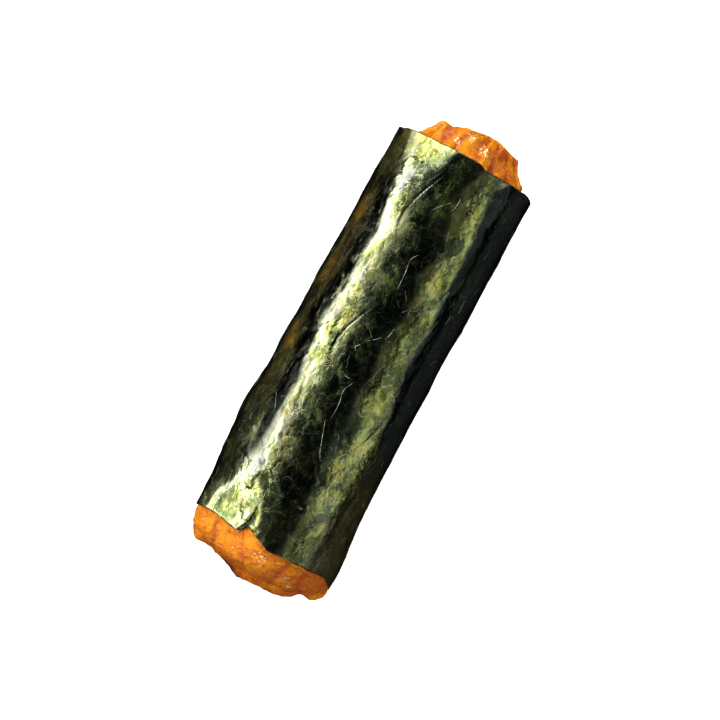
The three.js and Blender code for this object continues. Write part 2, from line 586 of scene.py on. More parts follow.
def blades(x, arc):
    """The blades of seaweed that the sheet is pressed from: hundreds of ellipses, each with an edge
    made ragged by noise, laid one over another. Returns the height that they add up to, how many
    lie on each other, and the tone of the topmost one, from 0 to 1."""
    draw = np.random.default_rng(SEEDS["blades"])
    ragged = Noise("blade_edges")
    places = np.stack([x, arc, np.zeros_like(x)], axis=-1)
    warp_x = x + 0.7 * ragged.octaves(places, 1.5, 4, 0.6)
    warp_arc = arc + 0.7 * ragged.octaves(places + 40, 1.5, 4, 0.6)
    layers, tone, tilt = np.zeros_like(x), np.full_like(x, 0.5), np.zeros_like(x)
    low, high = (x.min(), arc.min()), (x.max(), arc.max())
    for _ in range(BLADES):
        centre = draw.uniform(low, high)
        long = draw.uniform(0.7, 3.2)
        wide = long * draw.uniform(0.25, 0.6)
        lie, shade, slope, lean = draw.normal(0, 0.8), draw.random(), *draw.normal(0, 0.012, 2)
        near = (abs(x - centre[0]) < long + 1.5) & (abs(arc - centre[1]) < long + 1.5)
        step_x, step_arc = warp_x[near] - centre[0], warp_arc[near] - centre[1]
        along = step_x * np.cos(lie) + step_arc * np.sin(lie)
        across = step_arc * np.cos(lie) - step_x * np.sin(lie)
        inside = 1 - rise((np.hypot(along / long, across / wide) - 1) * wide, -0.09, 0.09)
        layers[near] += inside
        tone[near] += inside * (shade - tone[near])
        tilt[near] += inside * (slope * along + lean * across - tilt[near])
    return 0.006 * layers + tilt, layers, tone


def crease_relief(x, arc, radius):
    """A flap along each crease: with d the distance across it towards -Y, the sheet curls up by
    0.03 exp(-(d / 0.3)^2) before the crease, drops, and comes back as -0.05 exp(-d / 0.45) after
    it. Its painted shadow is exp(-((d - w) / w)^2). Past the shadow comes a painted highlight on
    the flap's lip: a broad pale patch by the first half of the crease, and a thin white glint line
    by the second. It all dies away towards both ends of the crease."""
    height, shadow, pale, crease_glint = (np.zeros_like(x) for _ in range(4))
    for corners, strength, width in CREASES:
        line = spline([(cx, radius * np.arcsin(cy / radius)) for cx, cy in corners], 60)
        low, high = line.min(axis=0) - 1.6, line.max(axis=0) + 1.6
        near = (x > low[0]) & (x < high[0]) & (arc > low[1]) & (arc < high[1])
        offsets = np.stack([x[near], arc[near]], axis=-1)[:, None] - line[None]
        nearest = np.argmin(np.einsum("ijk,ijk->ij", offsets, offsets), axis=1)
        tangents = np.gradient(line, axis=0)
        tangents /= np.linalg.norm(tangents, axis=1, keepdims=True)
        offset = offsets[np.arange(len(nearest)), nearest]
        tangent = tangents[nearest]
        along = np.einsum("ij,ij->i", offset, tangent)
        beyond = offset[:, 0] * tangent[:, 1] - offset[:, 1] * tangent[:, 0]
        share = nearest / (len(line) - 1)
        fade = np.sin(np.pi * np.clip(share, 0.02, 0.98)) ** 0.6 * hump(along, 0, 0.25)
        curl = 0.03 * hump(np.minimum(beyond, 0), 0, 0.3)
        sunk = -0.05 * np.exp(-np.maximum(beyond, 0) / 0.45)
        past = rise(beyond, -0.05, 0.05)
        height[near] += strength * fade * (curl + past * (sunk - curl) * hump(beyond, 0, 1.0))
        shadow[near] += min(strength, 1) * fade * hump(beyond, 0.8 * width, width)
        patch = hump(beyond, 0.55, 0.35) * (1 - rise(share, 0.3, 0.6))
        plain = rise(strength, 0.4, 1.0) * fade
        pale[near] += plain * patch
        crease_glint[near] += plain * (width < 0.1) * hump(beyond, 0.2, 0.06) * rise(share, 0.35, 0.6)
    return height, shadow, pale, crease_glint


def amber_spots(roll, x, angle):
    """The sum of a hump exp(-(d / size)^2) over each spot, d away along the sheet."""
    total = np.zeros_like(x)
    for spot_x, spot_angle, size in AMBER_SPOTS:
        along = roll.radius * angle_between(angle, np.radians(spot_angle))
        total += 1.4 * hump(np.hypot(x - spot_x, along), 0, size)
    return total


def zones(roll, x, angle):
    """How far each point lies above the line GLOSS_HIGH, below GLOSS_LOW and inside the crown, in
    the view from above. Below the flanks, the distance across is carried on by the arc. Veil is
    the sum of a hump exp(-d^2) over each of VEILS, and shade is that over SHADES less that over
    SPARSE. Turned is the angle from the top, on either side."""
    turned = angle_between(angle, 0)
    beyond = np.sign(turned) * (1 + np.abs(turned) - np.pi / 2)
    across = roll.radius * np.where(np.abs(turned) < np.pi / 2, np.sin(turned), beyond)

    def line(corners):
        """The y of a line at each x."""
        return np.interp(x, *zip(*corners))

    def patches(spots):
        """The sum of exp(-d^2) over the spots, with d in shares of their length and width."""
        return sum(
            hump(np.hypot((x - spot_x) / long, (across - spot_y) / wide), 0, 1)
            for spot_x, spot_y, long, wide in spots
        )

    return {
        "above": across - line(GLOSS_HIGH),
        "below": line(GLOSS_LOW) - across,
        "crown": np.minimum(across - line(CROWN_LOW), line(CROWN_HIGH) - across),
        "veil": patches(VEILS),
        "shade": patches(SHADES) - patches(SPARSE),
        "turned": np.abs(turned),
    }


def band_points(roll, wound, share, depth=0.0, fine=True):
    """The sheet's face at a depth under its outside, for each wound angle and each share of the
    way from the left edge to the right one: the radius is the roll's, raised by the lap, the dents
    and the torn corner beside the notch. Noise frays the cut edges. The fine face has the blades
    and wrinkles too, and comes with what the material needs to know at each point."""
    share, wound = np.meshgrid(share, wound, indexing="ij")
    fray = Noise("frayed_edges")
    along = np.stack([share * (roll.right - roll.left), 0 * share + 50, 0 * share], axis=-1)
    lap_fray = 0.06 * fray.octaves(along, 6.0, 4) * (1 - rise(wound, 0, 0.6))
    angle = roll.lap_edge - wound + lap_fray
    round_edge = np.stack([np.cos(angle) * 7, np.sin(angle) * 7, 0 * angle], axis=-1)
    left = roll.left_edge(angle) + 0.07 * fray.octaves(round_edge, 1.1, 4)
    right = roll.right_edge(angle) + 0.05 * fray.octaves(round_edge + 30, 1.1, 4)
    x = left + (right - left) * share
    torn_corner = 0.15 * bell(angle, 28, 8) * rise(-x, 18.9, 20.4)
    radius = roll.radius + roll.lap(wound) + roll.swelling(angle, x) + roll.lip(angle, x)
    radius += roll.flattening(angle, x) + roll.unevenness(angle, x) + torn_corner - depth
    if not fine:
        return roll.about_axis(x, radius, angle, floor=depth).reshape(-1, 3)
    arc = roll.radius * (np.mod(angle + np.pi, 2 * np.pi) - np.pi)
    places = roll.about_axis(x, roll.radius + 0 * x, angle, floor=-100)
    stacked, layers, tone = blades(x, arc)
    wrinkles = 0.02 * (0.25 - np.abs(Noise("wrinkles").octaves(places * (0.6, 1, 1), 1.5, 3)))
    grain = 0.007 * Noise("nori_grain").octaves(places, 0.55, 2)
    creased, shadow, pale, crease_glint = crease_relief(x, arc, roll.radius)
    radius += stacked + wrinkles + grain + creased
    points = roll.about_axis(x, radius, angle, floor=depth)
    attributes = {
        "blades": layers,
        "tone": tone,
        "amber": amber_spots(roll, x, angle),
        "shadow": shadow,
        "pale": pale,
        "crease_glint": crease_glint,
        **zones(roll, x, angle),
    }
    return points.reshape(-1, 3), attributes


class NORIMAKI_OT_nori_band(bpy.types.Operator):
    """Add the band of nori: one closed sheet, wound round the stick and lapped"""

    bl_idname = "norimaki.nori_band"
    bl_label = "Nori band"

    def execute(self, context):
        roll = Roll(context.scene.norimaki_sizes)
        wound = wound_angles(roll)
        share = np.linspace(0, 1, BAND_ROWS + 1)
        outside, attributes = band_points(roll, wound, share)
        rows, columns = len(share), len(wound)
        few_wound, few_share = wound[::INNER_STEP], share[::INNER_STEP]
        inside = band_points(roll, few_wound, few_share, roll.thickness, fine=False)
        few = (len(few_share), len(few_wound))
        start = len(outside)
        faces = [
            grid_faces(rows, columns),
            grid_faces(*few, start)[:, ::-1],
            zip_rims(rim_of(rows, columns), rim_of(*few, start)),
        ]

        def both(values):
            """The outer face's values, and then those of the inner face's fewer points."""
            return np.append(values.ravel(), values[::INNER_STEP, ::INNER_STEP].ravel())

        piece = new_piece(
            "nori_sheet",
            np.vstack([outside, inside]),
            faces,
            "nori",
            nori_material(context.scene.norimaki_colours),
            **{key: both(values) for key, values in attributes.items()},
        )
        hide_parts("nori_band")
        return {"FINISHED"}


# ---------------------------------------------------------------- strands on the nori

# Strands that lie on the top of the band, as [x, y] points that they pass in the view from above.
STRANDS = [
    [(-10.75, -1.21), (-9.9, -0.75), (-8.9, -0.42), (-7.0, 0.24)],
    [(-6.6, -0.19), (-5.6, -0.24), (-4.6, -0.15), (-3.7, 0.0), (-2.6, -0.48)],
    [(7.05, 0.0), (8.8, 0.06), (10.25, 0.19), (11.0, -0.29)],
    [(15.3, 0.68), (16.0, 0.1), (16.8, -0.68)],
    [(16.05, -1.06), (16.7, -1.25), (17.6, -1.3)],
    [(1.4, 0.3), (1.9, -0.3), (2.4, -0.84)],
    [(2.4, -1.16), (3.0, -1.4), (3.7, -1.48)],
    [(-2.45, -0.2), (-2.4, 0.5), (-2.1, 1.0)],
    [(0.1, 0.75), (0.5, 0.95), (0.9, 0.6)],
    [(-8.6, 4.72), (-7.8, 4.95), (-6.8, 5.4)],
    [(-10.2, -2.3), (-9.4, -2.7), (-8.9, -3.1)],
    [(-13.6, -3.0), (-12.0, -3.1), (-10.6, -3.3)],
]
LOOSE_STRANDS = 150
STRAND_RADIUS = 0.022
LOOSE_STRAND_RADIUS = 0.018
STRAND_TIP_RADIUS = 0.004
STRAND_LIFT = 0.045  # over the plain outside of the nori
STRAND_SIDES = 5
STRAND_STEPS = 18


def loose_strands(roll, draw):
    """Short strands scattered over the whole band, as points of [x, angle]."""
    for _ in range(LOOSE_STRANDS):
        start = np.array([draw.uniform(roll.left + 1, roll.right - 3), draw.uniform(-2.2, 3.6)])
        heading = draw.normal(0, 0.7)
        points = [start]
        for _ in range(3):
            heading += draw.normal(0, 0.5)
            step = np.array([np.cos(heading), np.sin(heading) / roll.radius])
            points.append(points[-1] + draw.uniform(0.2, 0.6) * step)
        yield points


def strand_tube(surface, points, thickness):
    """A tube of falling thickness along the curve through points of [x, angle], half sunk in the
    nori: at t along it, the radius is thickness * sin(pi t)^0.4 and a little more, so that the tips
    are closed by small caps. Nothing of it goes below the ground."""
    line = spline(points, STRAND_STEPS)
    centre = surface(line[:, 0], line[:, 1])
    tangent = np.gradient(centre, axis=0)
    tangent /= np.linalg.norm(tangent, axis=1, keepdims=True)
    out = np.stack([0 * line[:, 1], np.sin(line[:, 1]), np.cos(line[:, 1])], axis=-1)
    side = np.cross(tangent, out)
    side /= np.linalg.norm(side, axis=1, keepdims=True)
    out = np.cross(side, tangent)
    t = np.linspace(0, 1, STRAND_STEPS)
    width = thickness * np.maximum(np.sin(np.pi * t), 0) ** 0.4 + STRAND_TIP_RADIUS
    turns = np.linspace(0, 2 * np.pi, STRAND_SIDES, endpoint=False)
    cosine, sine = np.cos(turns)[None, :, None], np.sin(turns)[None, :, None]
    ring = cosine * out[:, None] + sine * side[:, None]
    tube = (centre[:, None] + width[:, None, None] * ring).reshape(-1, 3)
    tube[:, 2] = np.maximum(tube[:, 2], 0)
    return tube


class NORIMAKI_OT_nori_strands(bpy.types.Operator):
    """Add the fine pale strands that lie on the nori"""

    bl_idname = "norimaki.nori_strands"
    bl_label = "Nori strands"

    def execute(self, context):
        roll = Roll(context.scene.norimaki_sizes)

        def surface(x, angle):
            """Points just above the plain outside of the nori."""
            radius = roll.radius + roll.swelling(angle, x) + roll.flattening(angle, x)
            return roll.about_axis(x, radius + roll.unevenness(angle, x) + STRAND_LIFT, angle)

        draw = np.random.default_rng(SEEDS["strands"])
        placed = [[(x, np.arcsin(y / roll.radius)) for x, y in points] for points in STRANDS]
        lines = [(points, STRAND_RADIUS, 0.75) for points in placed]
        for points in loose_strands(roll, draw):
            lines.append((points, LOOSE_STRAND_RADIUS, 0.4 * draw.random() ** 3))
        tubes = [strand_tube(surface, points, size) for points, size, _ in lines]
        pale = np.repeat([shade for *_, shade in lines], len(tubes[0]))
        ring = grid_faces(STRAND_STEPS, STRAND_SIDES, wrap=True)
        cap = np.arange(STRAND_SIDES)
        faces = []
        for i, tube in enumerate(tubes):
            start = i * len(tube)
            last = start + len(tube) - STRAND_SIDES
            faces += [ring + start, (cap[::-1] + start)[None], (cap + last)[None]]
        new_piece(
            "nori_strands",
            np.vstack(tubes),
            faces,
            "nori",
            strand_material(context.scene.norimaki_colours),
            pale=pale,
        )
        return {"FINISHED"}


# ---------------------------------------------------------------- the rice stick

# How finely the stick is divided.
STICK_COLUMNS = 288
END_ROWS = 128
MIDDLE_ROWS = 24

# The ends of the stick, as [x, radius] from the pole of each to where the band hides it.
BLUNT_END = [
    (-24.42, 0.0),
    (-24.38, 1.5),
    (-24.18, 2.6),
    (-23.85, 3.45),
    (-23.5, 4.2),
    (-23.22, 5.0),
    (-22.98, 5.8),
    (-22.65, 6.5),
    (-22.1, 6.95),
    (-21.3, 7.2),
    (-20.0, 7.2),
    (-17.0, 7.2),
]
GATHERED_END = [
    (18.0, 7.2),
    (20.2, 6.75),
    (21.4, 6.1),
    (21.9, 5.55),
    (22.4, 5.05),
    (22.9, 4.7),
    (23.3, 4.45),
    (23.65, 3.9),
    (24.0, 2.8),
    (24.25, 1.6),
    (24.4, 0.0),
]
# Knobs and hollows on the ends: the [x, y, z] centre from the axis, the size, and the height.
LUMPS = [
    ((23.6, 3.6, 0.6), 0.8, 0.45),
    ((22.9, 3.2, 2.8), 0.9, 0.25),
    ((23.9, 2.65, 0.8), 0.55, -0.75),
    ((23.3, 0.6, 4.2), 1.0, 0.16),
    ((23.5, -2.6, 3.2), 1.0, 0.14),
    ((24.1, -1.2, 0.8), 1.1, 0.22),
    ((23.0, 4.5, 0.5), 0.7, 0.32),
    ((22.5, 4.9, 0.5), 0.6, 0.35),
    ((24.0, -3.2, 0.2), 1.1, -0.28),
    ((23.7, -4.5, 0.3), 0.5, 0.3),
    ((22.7, -5.3, 0.6), 0.7, -0.35),
    ((21.6, -6.0, 0.5), 0.6, 0.45),
    ((22.9, 3.8, 2.3), 0.45, 0.15),
    ((22.65, 1.6, 4.5), 0.5, 0.16),
    ((23.7, 0.4, 3.9), 0.4, 0.14),
    ((22.85, -1.35, 4.7), 0.4, 0.14),
    ((-22.9, 6.1, 0.6), 0.4, 0.15),
    ((-23.2, 4.25, 0.6), 0.75, -0.6),
    ((-23.3, 3.2, 0.6), 0.4, -0.35),
    ((-22.9, 4.6, 2.6), 1.0, -0.2),
    ((-23.3, -5.4, 0.8), 0.6, -0.3),
    ((-22.9, -6.6, 0.6), 0.8, 0.4),
    ((-22.2, -7.4, 0.3), 0.8, 0.35),
    ((-24.2, 0.7, 0.8), 0.7, 0.22),
    ((-23.9, 2.4, 0.5), 0.9, -0.32),
    ((-24.3, -1.6, 0.6), 1.2, -0.15),
    ((-22.4, 2.2, 6.2), 1.2, 0.12),
    ((-22.8, -3.2, 5.0), 1.1, 0.15),
    ((-21.9, -0.3, 6.9), 0.3, 0.17),
    ((-22.1, -1.0, 6.7), 0.25, 0.14),
    ((-22.9, -2.9, 5.6), 0.3, 0.12),
    ((-22.6, -4.0, 4.6), 0.22, 0.13),
    ((-22.3, -3.7, 5.4), 0.18, 0.12),
    ((-21.7, -1.1, 7.0), 0.2, 0.13),
    ((-23.4, 3.6, 0.5), 0.25, 0.4),
]
PUFF_HEIGHT = 0.15
PIT_DEPTH = 0.05
CRACK_DEPTH = 0.07
PLEAT_HEIGHT = 0.12
PLEATS = 17  # round the gathered end
# The scorched rim of the blunt end, as [x, y] points that it passes in the view from above.
SCORCHED = [
    (-23.2, 3.9),
    (-23.4, 3.3),
    (-23.65, 2.5),
    (-23.95, 1.75),
    (-24.4, 0.95),
    (-24.5, 0.4),
]
# The middle of the brown halo round it, and its size.
HALO = (-23.8, 2.2, 8.6)
HALO_SIZE = 2.6
# Shiny spots on the ends, as [x, y, size] in the view from above.
# The painted glints gather on them too.
SHINY = [
    (22.9, 3.85, 0.55),
    (22.3, 1.65, 0.6),
    (23.5, 0.45, 0.6),
    (22.6, -1.35, 0.6),
    (-21.4, -0.5, 0.7),
    (-22.6, -3.9, 0.7),
]
# Folds on the ends, each from [x, y] to [x, y] in the view from above, its width and its depth.
FOLDS = [
    ((-23.4, 4.0), (-20.2, 4.85), 0.32, 0.13),
    ((-23.6, -2.1), (-20.2, -3.6), 0.26, 0.09),
    ((-23.8, 0.4), (-20.4, 1.7), 0.22, 0.06),
    ((-23.2, -4.9), (-20.2, -5.3), 0.26, 0.10),
    ((-23.2, -3.6), (-20.4, -4.6), 0.18, 0.05),
    ((21.6, 2.9), (24.6, 2.7), 0.30, 0.16),
    ((21.2, -3.1), (24.4, -2.7), 0.45, 0.14),
    ((21.2, 0.95), (24.4, 0.6), 0.22, 0.07),
    ((-22.4, 2.3), (-20.3, 2.1), 0.5, 0.05),
]


def stick_form(roll):
    """The smooth stick as rings of points: each profile is turned about the axis, uneven as the
    whole roll is, and its ends sit off to one side. The blunt end is bevelled on the +Y side, where
    the radius stays under 7.45 + 0.385 (x + 20.05), less 0.35 (-21.7 - x) beyond x = -21.7."""
    blunt = spline(BLUNT_END, END_ROWS)
    gathered = spline(GATHERED_END, END_ROWS)
    middle = np.linspace(blunt[-1], gathered[0], MIDDLE_ROWS + 2)[1:-1]
    profile = np.vstack([blunt, middle, gathered])
    x, radius = (profile[:, i, None] for i in range(2))
    angle = np.linspace(0, 2 * np.pi, STICK_COLUMNS, endpoint=False)[None]
    share = radius / roll.stick_radius
    oval = 0.22 * np.cos(2 * angle) * rise(x, 19.1, 21.5)
    bent = radius + (roll.swelling(angle, x) + roll.flattening(angle, x) + oval) * share
    chamfer = 7.45 + 0.385 * (x + 20.05) - 0.35 * np.maximum(-21.7 - x, 0)
    bent = bent - np.maximum(bent - chamfer, 0) * bell(angle, 90, 50) * rise(-x, 19.6, 20.4)
    points = roll.about_axis(x + 0 * angle, bent, angle + 0 * x, floor=roll.thickness)
    drop = -1.15 * rise(-x, 22.9, 23.8) - 0.35 * rise(x, 21.0, 23.0) - 0.6 * rise(x, 23.3, 24.3)
    points[..., 1] += drop
    return points, angle + 0 * x


def normals_of(points):
    """Unit normals of rings of points, from the differences along and round them."""
    along = np.gradient(points, axis=0)
    around = np.roll(points, -1, axis=1) - np.roll(points, 1, axis=1)
    normals = np.cross(along, around)
    size = np.linalg.norm(normals, axis=-1, keepdims=True)
    return normals / np.maximum(size, 1e-9)


def fold_grooves(points, centred):
    """How deep the surface is in the folds: along each, depth * exp(-(d / width)^2) with d the
    distance from it in the view from above, wandering a little and fading at both ends."""
    astray = 0.25 * Noise("folds_astray").octaves(points, 1.3, 3)
    total = np.zeros(points.shape[:-1])
    for start, end, width, depth in FOLDS:
        way = np.subtract(end, start)
        step = points[..., :2] - start
        share = (step @ way) / (way @ way)
        apart = (step[..., 0] * way[1] - step[..., 1] * way[0]) / np.hypot(*way)
        fade = rise(share, -0.05, 0.2) * rise(-share, -1.05, -0.8)
        total += depth * fade * hump(apart + astray, 0, width)
    return total * rise(centred[..., 2], -1.5, 0.5)


def scorched(points, centred):
    """exp(-(d / 0.5)^2) * exp(-((z - 1.7) / 1.3)^2) * exp(-((y - 1.7) / 1.7)^2), with d the
    distance from the line SCORCHED in the view from above and z the height above the axis. Noise
    makes it ragged."""
    line = spline(SCORCHED, 40)
    apart = points[..., None, :2] - line
    away = np.sqrt(np.min(np.einsum("...i,...i", apart, apart), axis=-1))
    ragged = Noise("scorch_edges").octaves(points, 0.9, 3)
    patch = hump(points[..., 1] + 0.9 * ragged, 1.7, 1.7)
    patch = patch * hump(centred[..., 2] - 0.8 * ragged, 1.7, 1.3)
    return patch * hump(away + 0.3 * ragged, 0, 0.5)


def stick_relief(roll, points, angle):
    """The height of the baked surface, and how toasted, how deep in a fold, how scorched and how
    shiny it is. The toasting carries painted shade: darker in the grooves and towards -Y, paler on
    the knobs and pleat crests. How deep in a fold or hollow is painted as shade too. It is puffed,
    pitted and blistered by noise, raised by each of LUMPS as height * exp(-(d / size)^2), and cut
    by the folds. The gathered end is drawn into soft pleats, cos(PLEATS * angle) with the angle
    warped by noise."""
    x = points[..., 0]
    centred = points - (0, 0, roll.axis_height)
    reach = np.hypot(centred[..., 1], centred[..., 2])
    blunt = rise(-x, 19.5, 20.6)
    gathered = rise(x, 19.4, 21.2)
    shown = np.maximum(blunt, gathered)
    puffs = Noise("puffs").octaves(points, 3.4, 3)
    pits = Noise("pits").octaves(points, 0.9, 3, 0.65)
    blisters = 0.12 * np.maximum(Noise("blisters")(points / 0.6) - 0.3, 0)
    warped = angle - np.radians(8) + 0.08 * Noise("warped_pleats").octaves(centred, 2.5, 3)
    wave = np.cos(PLEATS * warped) + 0.3 * np.cos(39 * warped + 1)
    deeper = 1 + 0.9 * Noise("pleat_depth")(centred / 2.5)
    pleat = wave * rise(reach, 0.8, 3.2) * gathered * deeper
    crack = hump(Noise("cracks").octaves(points * (1.6, 1, 1), 3.0, 3), 0, 0.06)
    crack = crack * rise(Noise("cracked_places")(points / 3.5), 0.0, 0.3)
    lumps = sum(
        height * np.exp(-np.sum((centred - centre) ** 2, axis=-1) / size**2)
        for centre, size, height in LUMPS
    )
    shine = sum(hump(np.hypot(x - cx, points[..., 1] - cy), 0, size) for cx, cy, size in SHINY)
    shine = shine * rise(centred[..., 2], 0, 1)
    crags = (0.06 + 0.05 * blunt) * (0.3 - np.abs(Noise("crags").octaves(points, 1.1, 3, 0.6)))
    grooves = fold_grooves(points, centred)
    baked = PUFF_HEIGHT * puffs + PIT_DEPTH * pits + crags + blisters + lumps - CRACK_DEPTH * crack
    height = shown * baked + PLEAT_HEIGHT * pleat - grooves
    patches = Noise("toasting").octaves(points * (1.4, 1, 1), 2.4, 4, 0.6)
    # Toasting in patches, with painted shade: paler on the knobs and pleat crests, darker in the
    # grooves.
    toast_and_shade = 0.35 + 0.6 * patches - 1.2 * lumps - 0.25 * pleat + 3.0 * grooves
    # Browner towards -Y: partly real toasting, partly painted shade where less light falls.
    toast_and_shade += (0.45 - 0.3 * gathered) * rise(-points[..., 1], 0.5, 5.5)
    toast_and_shade += 0.8 * blunt * hump(np.linalg.norm(points - HALO, axis=-1), 0, HALO_SIZE)
    # Sunk marks the hollows, which the material paints in shade, as it does the folds and cracks.
    sunk = rise(-(pits + 0.8 * puffs + pleat), 0.25, 1.6)
    attributes = {
        "toast_and_shade": np.clip(toast_and_shade, 0, 1),
        "fold": np.clip(0.6 * crack + sunk + 4 * grooves, 0, 1.2),
        "scorch": scorched(points, centred),
        "shine": shine,
    }
    return height, attributes


class NORIMAKI_OT_rice_stick(bpy.types.Operator):
    """Add the baked rice stick, with its puffed blunt end and its pleated gathered end"""

    bl_idname = "norimaki.rice_stick"
    bl_label = "Rice stick"

    def execute(self, context):
        roll = Roll(context.scene.norimaki_sizes)
        form, angle = stick_form(roll)
        height, attributes = stick_relief(roll, form, angle)
        points = form + normals_of(form) * height[..., None]
        points[..., 2] = np.maximum(points[..., 2], roll.thickness)
        left, right = points[0].mean(axis=0), points[-1].mean(axis=0)
        rings = points[1:-1]
        count = rings.shape[0] * STICK_COLUMNS
        column = np.arange(STICK_COLUMNS)
        after = np.roll(column, -1)
        last = count - STICK_COLUMNS
        left_fan = [np.full(STICK_COLUMNS, count), column, after]
        right_fan = [last + after, last + column, np.full(STICK_COLUMNS, count + 1)]
        faces = [
            grid_faces(rings.shape[0], STICK_COLUMNS, wrap=True)[:, ::-1],
            np.column_stack(left_fan),
            np.column_stack(right_fan),
        ]

        def with_poles(values):
            """The values of the rings, and then one for the pole of each end."""
            return np.concatenate([values[1:-1].ravel(), [values[0].mean(), values[-1].mean()]])

        piece = new_piece(
            "rice_core",
            np.vstack([rings.reshape(-1, 3), left, right]),
            faces,
            "glazed_rice",
            rice_material(context.scene.norimaki_colours),
            **{key: with_poles(values) for key, values in attributes.items()},
        )
        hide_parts("rice_stick")
        return {"FINISHED"}


# ---------------------------------------------------------------- materials


class Wire:
    """The output of a shader node. Arithmetic on wires and numbers adds Math nodes."""

    def __init__(self, shader, socket):
        self.shader = shader
        self.socket = socket

    def _math(self, operation, *values):
        """One Math node between these values."""
        return self.shader.node("Math", {"operation": operation}, dict(enumerate(values)))

    def __add__(self, other):
        return self._math("ADD", self, other)

    def __radd__(self, other):
        return self._math("ADD", other, self)

    def __sub__(self, other):
        return self._math("SUBTRACT", self, other)

    def __rsub__(self, other):
        return self._math("SUBTRACT", other, self)

    def __mul__(self, other):
        return self._math("MULTIPLY", self, other)

    def __rmul__(self, other):
        return self._math("MULTIPLY", other, self)

    def __abs__(self):
        return self._math("ABSOLUTE", self)


class Shader:
    """One material with a Principled surface, and the nodes that lead to it."""

    def __init__(self, name, **surface):
        self.material = bpy.data.materials.new(name)
        self.material.use_nodes = True
        self.nodes = self.material.node_tree.nodes
        self.nodes.clear()
        self.surface = self.nodes.new("ShaderNodeBsdfPrincipled")
        output = self.nodes.new("ShaderNodeOutputMaterial")
        self.material.node_tree.links.new(self.surface.outputs[0], output.inputs["Surface"])
        self.feed(self.surface, surface)

    def feed(self, node, inputs):
        """Sets or links a node's sockets, by name or by number."""
        for key, value in inputs.items():
            if isinstance(key, str):
                socket = next(s for s in node.inputs if s.name == key and s.enabled)
            else:
                socket = node.inputs[key]
            if isinstance(value, Wire):
                self.material.node_tree.links.new(value.socket, socket)
            elif socket.type == "RGBA":
                socket.default_value = (*value[:3], 1)
            else:
                socket.default_value = value

    def node(self, kind, settings, inputs, output=None):
        """Adds a node, applies its settings, feeds its sockets, and returns one output."""
        node = self.nodes.new("ShaderNode" + kind)
        for key, value in settings.items():
            setattr(node, key, value)
        self.feed(node, inputs)
        shown = [s for s in node.outputs if s.enabled]
        found = shown[0] if output is None else next(s for s in shown if s.name == output)
        return Wire(self, found)

    def shades(self, value, stops):
        """The colour that a value picks between [place, colour] stops."""
        node = self.nodes.new("ShaderNodeValToRGB")
        while len(node.color_ramp.elements) < len(stops):
            node.color_ramp.elements.new(0.5)
        for element, (place, shade) in zip(node.color_ramp.elements, stops):
            element.position = place
            element.color = (*shade[:3], 1)
        self.feed(node, {"Fac": value})
        return Wire(self, node.outputs["Color"])

    def place(self, stretch=(1, 1, 1)):
        """Object coordinates in millimetres, divided by a stretch along each axis."""
        where = self.node("TexCoord", {}, {}, "Object")
        scale = [1 / (MM * s) for s in stretch]
        return self.node("VectorMath", {"operation": "MULTIPLY"}, {0: where, 1: scale})

    def noise(self, where, size, detail=3.0, roughness=0.5, distortion=0.0):
        """A noise from 0 to 1 whose features are about size millimetres across."""
        sockets = {
            "Vector": where,
            "Scale": 1 / size,
            "Detail": detail,
            "Roughness": roughness,
            "Distortion": distortion,
        }
        return self.node("TexNoise", {}, sockets, "Fac")

    def ramp(self, value, low, high):
        """0 below low and 1 above high, with a smooth rise between them."""
        sockets = {"Value": value, "From Min": low, "From Max": high}
        return self.node("MapRange", {"interpolation_type": "SMOOTHSTEP"}, sockets)

    def blend(self, factor, first, second, mode="MIX"):
        """Goes from the first colour to the second as the factor goes from 0 to 1."""
        settings = {"data_type": "RGBA", "blend_type": mode}
        return self.node("Mix", settings, {"Factor": factor, "A": first, "B": second})

    def maximum(self, first, second):
        """The larger of two values."""
        return self.node("Math", {"operation": "MAXIMUM"}, {0: first, 1: second})

    def drawn(self, heading, stretch):
        """Object coordinates in millimetres, turned to a heading from X in plan and shrunk along
        it, so that a noise is drawn out that way."""
        settings = {"rotation_type": "Z_AXIS"}
        sockets = {"Vector": self.place(), "Angle": np.radians(heading)}
        turned = self.node("VectorRotate", settings, sockets)
        return self.node("VectorMath", {"operation": "MULTIPLY"}, {0: turned, 1: (stretch, 1, 1)})

    def cells(self, heading, size):
        """Patches with torn outlines, as blades have that lie one over another: the tone of each,
        from 0 to 1, and a fine line round it. They are the cells of a Voronoi pattern that is
        drawn out at a heading, and a noise pushes its coordinates about."""
        push = {"Vector": self.place(), "Scale": 0.8, "Detail": 4, "Roughness": 0.6}
        push = self.node("TexNoise", {}, push, "Color")
        sockets = {0: push, 1: (2.2, 2.2, 2.2), 2: self.drawn(heading, 0.5)}
        where = self.node("VectorMath", {"operation": "MULTIPLY_ADD"}, sockets)
        pattern = {"Vector": where, "Scale": 1 / size}
        tone = self.node("TexVoronoi", {"feature": "F1"}, pattern, "Color")
        edge = self.node("TexVoronoi", {"feature": "DISTANCE_TO_EDGE"}, pattern, "Distance")
        return self.part(tone, "X"), 1 - self.ramp(edge, 0.008, 0.035)

    def fibres(self, heading, size):
        """Fine lines, 1 on them and 0 beside them, that run mostly at a heading: where a noise
        drawn out that way crosses its middle value."""
        line = abs(self.noise(self.drawn(heading, 0.27), size, 1, 0.5, 0.5) - 0.5)
        patch = self.ramp(self.noise(self.drawn(heading, 1), 1.5, 2), 0.52, 0.6)
        return (1 - self.ramp(line, 0.002, 0.010)) * patch

    def wisps(self, first, second, size):
        """Soft wisps from 0 to 1, which run at one heading in some patches and at another in the
        rest."""
        one, other = (
            self.noise(self.drawn(heading, 0.32), size, 1.2, 0.5, 1.2)
            for heading in (first, second)
        )
        patch = self.ramp(self.noise(self.place(), 1.6, 3), 0.46, 0.54)
        return one + patch * (other - one)

